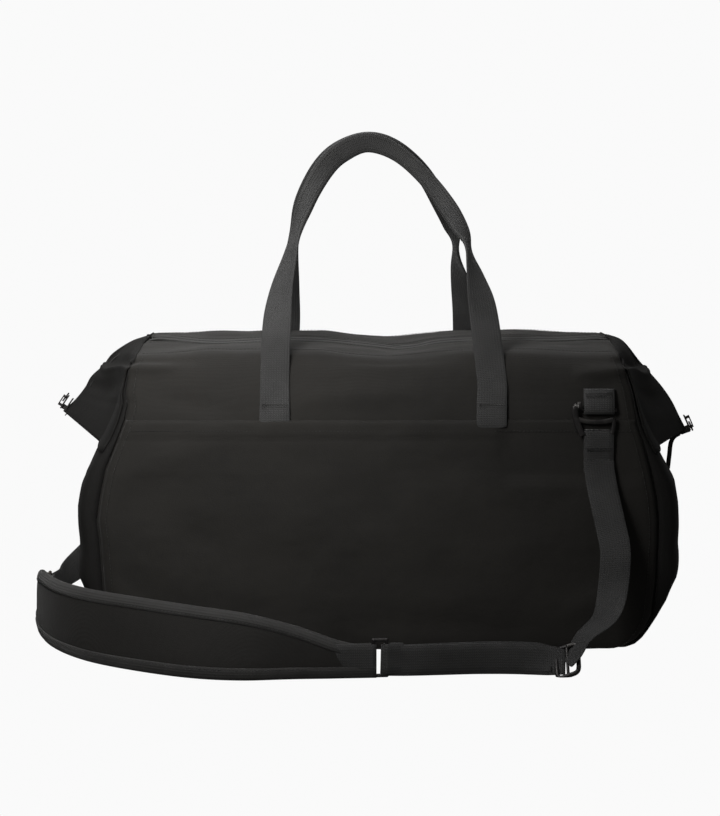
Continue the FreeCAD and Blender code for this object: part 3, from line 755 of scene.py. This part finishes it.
# width, thickness and direction across the strap, one for each point of a handle's line
HANDLE_WIDTH = [25, 25, 24.5, 24, 24, 24, 22, 17, 16, 18, 18.5, 17, 14.5, 14, 16, 15.5, 16.5, 21, 24, 24.5,
                25, 25, 25]
HANDLE_THICK = [1.8, 1.8, 1.8, 1.8, 1.8, 1.9, 2.4, 4, 5.5, 6, 6, 6, 6, 6, 5.5, 4, 3, 2, 1.8, 1.8, 1.8, 1.8,
                1.8]
HANDLE_ACROSS = [(-1, 0, 0), (-1, 0, 0), (-1, 0, 0), (-1, 0, 0), (-1, 0.05, 0), (-0.8, 0.6, 0),
                 (-0.42, 0.9, 0.1), (-0.36, 0.9, 0.2), (-0.75, 0.35, 0.4), (-0.75, 0, 0.65),
                 (-0.5, 0, 0.85), (0, 0, 1), (0.4, 0.1, 0.9), (0.7, 0.2, 0.7), (0.8, 0.2, 0.6),
                 (0.7, 0.6, 0.3), (0.15, 1, 0), (0.6, 0.8, 0), (0.97, 0.2, 0), (1, 0, 0), (1, 0, 0),
                 (1, 0, 0), (1, 0, 0)]


def handle_line(side, sign):
    left, right = FOOT[side]
    start = [(left, 107.2, 188), (left, 106.6, 200), (left, 104.6, 212), (left, 100.5, 228)]
    stop = [(right, 100.5, 228), (right, 104.6, 212), (right, 106.6, 200), (right, 107.2, 188)]
    return [(x, sign * y, z) for x, y, z in start + ARCH[side] + stop]


def mirrored(directions, sign):
    return [(x, y if sign < 0 else -y, z) for x, y, z in directions]


def side_offset(line, index, across, amount, lift):
    """A point on a strap's face, moved across it and lifted off it."""
    count = len(line)
    ahead = (line[min(index + 1, count - 1)][0] - line[max(index - 1, 0)][0]).normalized()
    side = (across - ahead * ahead.dot(across)).normalized()
    return line[index][0] + side * amount + ahead.cross(side) * lift


def handle(side, sign):
    line = handle_line(side, sign)
    body = side + "_handle"
    across = mirrored(HANDLE_ACROSS, sign)
    web = strap(side + "_handle_web", line, across, HANDLE_WIDTH, HANDLE_THICK, None, rows=150, crown=0.06)
    subdivide(web)
    places = even_points(line, 150)
    seams = []
    for shift in (-0.3, 0.3):
        for face in (-1, 1):
            row = []
            for i in range(40, 108):
                share = places[i][2]
                amount = shift * value_at(HANDLE_WIDTH, share)
                lift = face * (value_at(HANDLE_THICK, share) * 0.5 + 0.12)
                row.append(tuple(side_offset(places, i, curve_at(across, share), amount, lift)))
            seams.append(row)
    threads = stitches(side + "_grip_stitches", seams, None, pitch=3.4, length=2.6, radius=0.3)
    for piece in (web, threads):
        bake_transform(piece)
    parts = ("_left_leg", "_right_leg", "_grip", "_left_foot", "_right_foot")
    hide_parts(*[body + part for part in parts])
    tacks = []
    for x in FOOT[side]:
        for k in range(5):
            z = 204.6 + k * 0.9
            depth = 107.2 - (z - 200) * 0.11
            tacks.append([(x - 10.5, sign * depth, z),
                          (x + 10.5, sign * depth, z + (0.5 if k % 2 else -0.5))])
    stitches(side + "_handle_tacks", tacks, "bag", pitch=1.5, length=1.6, radius=0.34)


# ---- shoulder strap ------------------------------------------------------------------------
PAD_LINE = [(-3.0, -195.2, 13.8), (-30, -196, 14.4), (-72, -200.5, 22), (-110, -203, 27),
            (-150, -192, 28.5), (-196, -166, 29), (-238, -134, 29), (-269, -92, 28.5), (-288, -42, 27.5),
            (-298, 20, 22), (-299, 55, 15)]
PAD_ACROSS = [(0, 0.04, 1), (0, 0.10, 1), (0, 0.16, 1), (0, 0.22, 1), (0.07, 0.24, 1), (0.13, 0.18, 1),
              (0.12, 0.09, 1), (0.08, 0.04, 1), (0.05, 0, 1), (0.05, 0, 1), (0.05, 0, 1)]
PAD_WIDTH = [26, 28, 42, 52, 56, 57.5, 57.5, 56, 54, 42, 28]


def pad_frames(rows):
    places = even_points(PAD_LINE, rows)
    frames = []
    for i, (point, run, share) in enumerate(places):
        ahead = (places[min(i + 1, rows - 1)][0] - places[max(i - 1, 0)][0]).normalized()
        side = curve_at(PAD_ACROSS, share)
        side = (side - ahead * ahead.dot(side)).normalized()
        width = value_at(PAD_WIDTH, share)
        frames.append((point, side, ahead.cross(side), width, run))
    return frames


def shoulder_pad():
    rows = 110
    frames = pad_frames(rows)
    inner = [-1, -0.97, -0.9, -0.75, -0.5, -0.25, 0, 0.25, 0.5, 0.75, 0.9, 0.97, 1]
    section = [(a, 1) for a in inner] + [(a, -1) for a in reversed(inner)]
    verts, uvs = [], []
    for i, (point, side, normal, width, run) in enumerate(frames):
        tip = smooth_step((min(i, rows - 1 - i) - 3) / 9)
        for a, b in section:
            crown = (1 - abs(a) ** 6) ** 0.5 if abs(a) < 1 else 0.0
            channel = 0.55 * math.exp(-((abs(a) - 0.8) / 0.05) ** 2)
            thick = 1.0 + (3.2 * crown - channel) * (0.2 + 0.8 * tip)
            thick += 0.35 * noise.noise(Vector((run * 0.03, a * 1.3, b * 2.0))) * crown
            verts.append(point + side * (a * width / 2 * 0.97) + normal * (b * thick))
            uvs.append((run * MM, a * width / 2 * MM))
    faces = grid_faces(rows, len(section), closed=True) + end_caps(rows, len(section))
    pad = add_mesh("pad_cloth", verts, faces, PAD_CLOTH, "shoulder_strap", uvs)
    subdivide(pad)
    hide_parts("pad_cover_outer", "pad_cover_inner", "pad_foam")
    for name, edge in (("lower", -1), ("upper", 1)):
        band = binding(name, frames, edge)
        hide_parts("pad_binding_" + name)
    threads = []
    for edge in (-1, 1):
        for face in (-1, 1):
            threads.append([tuple(point + side * (edge * (width / 2 - 7.0)) + normal * (face * 4.75))
                            for point, side, normal, width, run in frames[13:-13:3]])
    stitches("pad_stitches", threads, "shoulder_strap", pitch=3.4, length=2.5, radius=0.26)


def binding(name, frames, edge):
    """Tape folded over the pad's edge."""
    section = [(-8.8, 3.9), (-8.5, 4.4), (-5.0, 4.2), (-1.6, 3.2), (0.1, 1.7), (0.6, 0.0), (0.1, -1.7),
               (-1.6, -3.2), (-5.0, -4.2), (-8.5, -4.4), (-8.8, -3.9)]
    verts, uvs = [], []
    last = len(frames) - 1
    for i, (point, side, normal, width, run) in enumerate(frames):
        flat = 0.56 + 0.44 * smooth_step((min(i, last - i) - 3) / 9)
        for a, b in section:
            verts.append(point + side * (edge * (width / 2 + a)) + normal * (b * flat))
            uvs.append((run * MM, a * MM))
    faces = grid_faces(len(frames), len(section))
    if edge < 0:
        faces = flipped(faces)
    band = add_mesh("pad_binding_" + name + "_tape", verts, faces, BINDING, "shoulder_strap",
                    uvs)
    solidify(band, TAPE_THICK, 0.0)
    return band


def folded_eye(name, points, across, nodes=()):
    piece = strap(name, points, across, EYE_WIDTH, WEB_THICK, "shoulder_strap", rows=36)
    if nodes:
        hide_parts(*nodes)
    return piece


def hook_strap(end, sign):
    """The strap's end, folded round the hook's lower bar and sewn to itself."""
    x = 180 if end == "front" else -180
    y = 108.1
    inner, outer = y - 2.1, y + 2.1
    loop = [(x, sign * (y - 1.2), 160), (x, sign * inner, 172), (x, sign * inner, 182),
            (x, sign * (y - 1.2), 186.3), (x, sign * (y + 1.2), 186.3), (x, sign * outer, 182),
            (x, sign * (outer - 0.2), 172), (x, sign * (y + 1.4), 160), (x, sign * (y + 2.8), 152)]
    folded_eye("hook_eye_" + end, loop, [(1, 0, 0), (1, 0, 0)])
    rows = [[(x - 10, sign * (outer + 0.9), 170 + k), (x + 10, sign * (outer + 0.9), 170 + k)]
            for k in (0, 1.2, 2.4)]
    stitches("hook_tacks_" + end, rows, "shoulder_strap", pitch=1.6, length=1.7, radius=0.32)
    fold = [(x, sign * 103.4, 221), (x, sign * 104.6, 212), (x, sign * 104.4, 204),
            (x, sign * 105.8, 201.0), (x, sign * 109.6, 201.0), (x, sign * 110.8, 204.5),
            (x, sign * 109.0, 212), (x, sign * 104.8, 220.5)]
    loop_piece = strap("loop_" + end, fold, [(1, 0, 0), (1, 0, 0)], WEB_WIDTH, WEB_THICK, "bag", rows=40)
    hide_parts("strap_loop_" + end)
    tacks = [[(x - 11, sign * (109.0 - k * 0.5), 214.0 + k * 1.1),
              (x + 11, sign * (109.0 - k * 0.5), 214.5 + k * 1.1)]
             for k in range(4)]
    stitches("loop_tacks_" + end, tacks, "bag", pitch=1.5, length=1.6, radius=0.32)


def flat_hook(end, sign):
    """The open hook: a curved spine, a bar through the loop, a bowed middle bar and a lower bar."""
    turn = 1 if end == "front" else -1
    depth = sign * 110.4

    def placed(points, y):
        return [(turn * x, y, z) for x, z in points]

    spine = placed([(165.5, 208.2), (161.5, 207.5), (159.9, 203), (160.8, 197), (162.6, 191),
                    (166.4, 182.6)], depth)
    middle = placed([(162.5, 196.2), (171, 194.6), (180, 194.2), (187, 195), (192, 196.4)], depth)
    side = placed([(192, 196.8), (191.8, 191), (190.6, 184.4)], depth)
    prong = placed([(162.5, 205.6), (170, 203.6), (180, 203.5), (194.5, 203.5)], sign * 108.1)
    lower = placed([(165.8, 183.6), (178, 183.9), (191, 184.2)], sign * 108.1)
    parts = []
    leaning = [(turn * 0.9, 0, 0.4)] * 2
    upright = [(0, 0, 1)] * 2
    for name, points, across, broad, thick in (("spine", spine, leaning, 5.4, 2.6),
                                               ("middle", middle, upright, 4.2, 2.2),
                                               ("side", side, leaning, 3.2, 2.2)):
        parts.append(strap("hook_" + name + "_" + end, points, across, broad, thick, "shoulder_strap",
                           DARK_METAL, rows=40, crown=0.1))
    for name, points in (("prong", prong), ("lower", lower)):
        parts.append(tube("hook_" + name + "_" + end, points, 1.4, rows=30))
    for piece in parts:
        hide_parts("hook_" + end)


def upright_eye(name, centre, along, reach, nodes=()):
    """Webbing folded round an upright ring bar, its two layers leading away along a direction."""
    middle = Vector((centre[0], centre[1], 15.5))
    ahead = Vector((*along, 0)).normalized()
    side = Vector((-ahead.y, ahead.x, 0))
    loop = [middle + ahead * reach + side * 1.1, middle + ahead * 4 + side * 1.9, middle + side * 2.4,
            middle - ahead * 2.4, middle - side * 2.4, middle + ahead * 4 - side * 1.9,
            middle + ahead * reach - side * 1.1]
    return folded_eye(name, [tuple(p) for p in loop], [(0, 0, 1), (0, 0, 1)], nodes)


FRONT_WEB = [(180, -110.4, 163), (180.6, -112, 154), (183, -118, 138), (188, -129, 114), (192, -139, 90),
             (188.6, -150, 58.4), (181.6, -163, 41.4), (165, -173, 29), (156.5, -179, 17.5),
             (148, -181, 10.2)]
FRONT_ACROSS = [(1, 0, 0), (1, 0, 0), (1, 0, 0), (1, -0.05, 0), (1, -0.12, 0), (0.97, -0.25, 0.1),
                (0.7, -0.62, 0), (0.35, -0.85, -0.05), (0.15, -0.9, -0.25), (0.1, -0.85, -0.4)]
REAR_WEB = [(-297.3, 84, 15.5), (-290, 108, 20), (-264, 125, 42), (-232, 129, 84), (-200, 124, 122),
            (-184, 115, 145), (-180.3, 112, 156), (-180, 110.4, 163)]
REAR_ACROSS = [(0, 0, 1), (0.2, 0, 1), (-0.6, 0, 0.8), (-0.8, 0, 0.5), (-1, 0, 0.3), (-1, 0, 0), (-1, 0, 0),
               (-1, 0, 0)]


def tri_glide():
    """The length adjuster: a round-cornered frame leaning back, with a bar across its middle."""
    centre = Vector((150.5, -182.2, 10.4))
    along = Vector((0, 0.75, 0.65)).normalized()
    ahead = Vector((0.95, 0.1, 0.3)).normalized()
    corners = []
    for angle in range(0, 360, 10):
        turn = math.radians(angle)
        a = math.copysign(abs(math.cos(turn)) ** 0.35, math.cos(turn)) * 14.2
        b = math.copysign(abs(math.sin(turn)) ** 0.35, math.sin(turn)) * 9.2
        corners.append(tuple(centre + along * a + ahead * b))
    frame = tube("tri_glide_frame", corners + corners[:1], 1.9, rows=120)
    bar = [tuple(centre - along * 13.6), tuple(centre), tuple(centre + along * 13.6)]
    middle = tube("tri_glide_bar", bar, 1.3, rows=12)
    for piece in (frame, middle):
        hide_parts("tri_glide")


def shoulder_strap():
    for end, sign in SIDES:
        hook_strap(end, sign)
        flat_hook(end, sign)
    front = strap("strap_front", FRONT_WEB, FRONT_ACROSS, WEB_WIDTH, WEB_THICK, "shoulder_strap", rows=80)
    subdivide(front)
    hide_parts("strap_web_front")
    rear = strap("strap_rear", REAR_WEB, REAR_ACROSS, WEB_WIDTH, WEB_THICK, "shoulder_strap", rows=80)
    subdivide(rear)
    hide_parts("strap_web_rear")
    lean = [(0, 0, 1), (0, 0, 1), (0, 0.06, 1), (0, 0.3, 0.95), (0, 0.75, 0.65)]
    outer_line = [(0.5, -195.6, 14.2), (22, -193.6, 13.6), (50, -189, 13.2), (80, -184.5, 13),
                  (110, -182, 12.4), (132, -181.2, 11), (149, -181.4, 9.8)]
    outer = strap("strap_floor_outer", outer_line, lean, WEB_WIDTH, WEB_THICK, "shoulder_strap", rows=60)
    inner_line = [(0.5, -193.4, 14.2), (22, -191.6, 13.8), (50, -186.8, 13.8), (80, -182, 13.6),
                  (110, -179.4, 13), (126, -178.6, 12.2), (138, -178.4, 11.4)]
    inner = strap("strap_floor_inner", inner_line, lean, WEB_WIDTH, WEB_THICK, "shoulder_strap", rows=60)
    tri_glide()
    eye = upright_eye("ring_right_web_eye", (5.5, -194.3), (1, 0.12), 13)
    for piece in (outer, inner, eye):
        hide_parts("strap_web_floor")
    upright_eye("ring_right_pad_eye", (-5.5, -195.4), (-1, -0.06), 30, ["ring_right_eye_pad"])
    upright_eye("ring_left_pad_eye", (-298.3, 65.5), (-0.05, -1), 14, ["ring_left_eye_pad"])
    upright_eye("ring_left_web_eye", (-297.7, 76.5), (0.05, 1), 12)
    rows = []
    for k in range(7):
        x = -24 - k * 1.6
        rows.append([(x, -198.6 + 0.02 * k, 6 if k % 2 else 24), (x - 1.6, -198.6, 24 if k % 2 else 6)])
    stitches("pad_end_tacks", rows, "shoulder_strap", pitch=1.6, length=1.8, radius=0.34)
    shoulder_pad()


# ---- seams ---------------------------------------------------------------------------------
def shell_seams():
    rows = []
    for side, sign in SIDES:
        for edge in (0.018, 0.982):
            rows.append([tuple(face_point(side, sign, edge, 0.08 + 0.66 * i / 40, 2.6 if i < 30 else 0.7))
                         for i in range(41)])
        top = depth_share(POCKET_TOP - 9)
        rows.append([tuple(face_point(side, sign, 0.01 + 0.98 * i / 80, top, 2.9)) for i in range(81)])
        for place in (0.79, 0.965):
            rows.append([tuple(face_point(side, sign, 0.01 + 0.98 * i / 60, place, 0.4))
                         for i in range(61)])
    stitches("shell_stitches", rows, "bag", pitch=3.0, length=2.3, radius=0.2)


# ---- hardware kept from the frame --------------------------------------------------------------
def dress_frame_nodes():
    # the left ring takes the brighter painted-glint metal; the other hardware keeps the dark metal
    finish = {"ring_right": DARK_METAL, "ring_left": GLINT_BRIGHT_METAL,
              "left_slider": DARK_METAL, "right_slider": DARK_METAL,
              "left_pull_ring": DARK_METAL, "right_pull_ring": DARK_METAL, "base_board": BOARD,
              "lining_floor": LINING, "inner_pocket_panel": LINING}
    for name, material in finish.items():
        piece = frame["nodes"][name]
        piece = piece["object"] if isinstance(piece, dict) else piece
        piece = bpy.data.objects[piece] if isinstance(piece, str) else piece
        for slot in piece.material_slots:
            slot.material = material


def pull_cord():
    line = [(268, 0, 172), (261, 2, 169), (255, 2, 165.5), (251.8, 0, 160), (250.6, -1, 150),
            (249.4, -1, 138)]
    piece = strap("pull_cord", line, [(-0.4, 0, 1), (1, 0, 0), (1, 0, 0), (1, 0, 0)], 3.9, 2.2,
                  "right_pull", rows=36)
    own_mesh(piece)
    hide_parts("right_pull_cord")


# ---- stage, light and camera ----------------------------------------------------------------
WHITE_GLOW = 0.955
WORLD_LIGHT = (1.0, 0.99, 0.97, 1)
WORLD_STRENGTH = 0.16
LENS = 111.6
CAMERA_PLACE = (0, -2.1667, 0.4852)
CAMERA_DROP = 7.741     # degrees that the camera looks down
FRAME_HEIGHT = 816
FRAME_SHIFT = -20       # the object's place in the frame, in the same units as its height


def area_light(name, place, target, size, power, colour=(1, 1, 1), spread=180):
    data = bpy.data.lights.new(name, "AREA")
    data.shape = "RECTANGLE"
    data.size, data.size_y = size
    data.energy = power
    data.color = colour
    data.spread = math.radians(spread)
    lamp = bpy.data.objects.new(name, data)
    lamp.location = place
    lamp.visible_camera = False
    lamp.rotation_euler = (Vector(target) - Vector(place)).to_track_quat("-Z", "Y").to_euler()
    bpy.context.scene.collection.objects.link(lamp)


def stage_sheet(name, corners):
    """A white sheet that shows in the picture but throws no light on the bag."""
    mesh = bpy.data.meshes.new(name)
    mesh.from_pydata(corners, [], [(0, 1, 2, 3)])
    material, _, shader = new_material(name, (0, 0, 0), 1.0)
    shader.inputs["Specular IOR Level"].default_value = 0.0
    shader.inputs["Emission Color"].default_value = (1, 1, 1, 1)
    shader.inputs["Emission Strength"].default_value = WHITE_GLOW
    mesh.materials.append(material)
    sheet = bpy.data.objects.new(name, mesh)
    bpy.context.scene.collection.objects.link(sheet)
    sheet.visible_diffuse = False
    sheet.visible_glossy = False


def stage():
    stage_sheet("white_floor", [(-9, -9, 0), (9, -9, 0), (9, 3, 0), (-9, 3, 0)])
    stage_sheet("white_wall", [(-9, 3, 0), (9, 3, 0), (9, 3, 6), (-9, 3, 6)])
    world = bpy.data.worlds.new("studio")
    world.use_nodes = True
    background = world.node_tree.nodes["Background"]
    background.inputs[0].default_value = WORLD_LIGHT
    background.inputs[1].default_value = WORLD_STRENGTH
    bpy.context.scene.world = world
    area_light("key", (-0.24, -0.66, 0.56), (-0.16, -0.1, 0.29), (0.3, 0.3), 2.35, (1.0, 0.99, 0.975), 76)
    area_light("top", (-0.3, 0.2, 1.3), (0, 0, 0.2), (1.0, 0.7), 16)


def camera():
    data = bpy.data.cameras.new("camera")
    data.lens = LENS
    data.shift_x = FRAME_SHIFT / FRAME_HEIGHT
    data.clip_end = 50
    view = bpy.data.objects.new("camera", data)
    view.location = CAMERA_PLACE
    view.rotation_euler = (math.radians(90 - CAMERA_DROP), 0, 0)
    bpy.context.scene.collection.objects.link(view)
    bpy.context.scene.camera = view
    bpy.context.scene.view_settings.view_transform = "Standard"


build_shell()
for side, sign in SIDES:
    handle(side, sign)
shoulder_strap()
shell_seams()
pull_cord()
dress_frame_nodes()
stage()
camera()
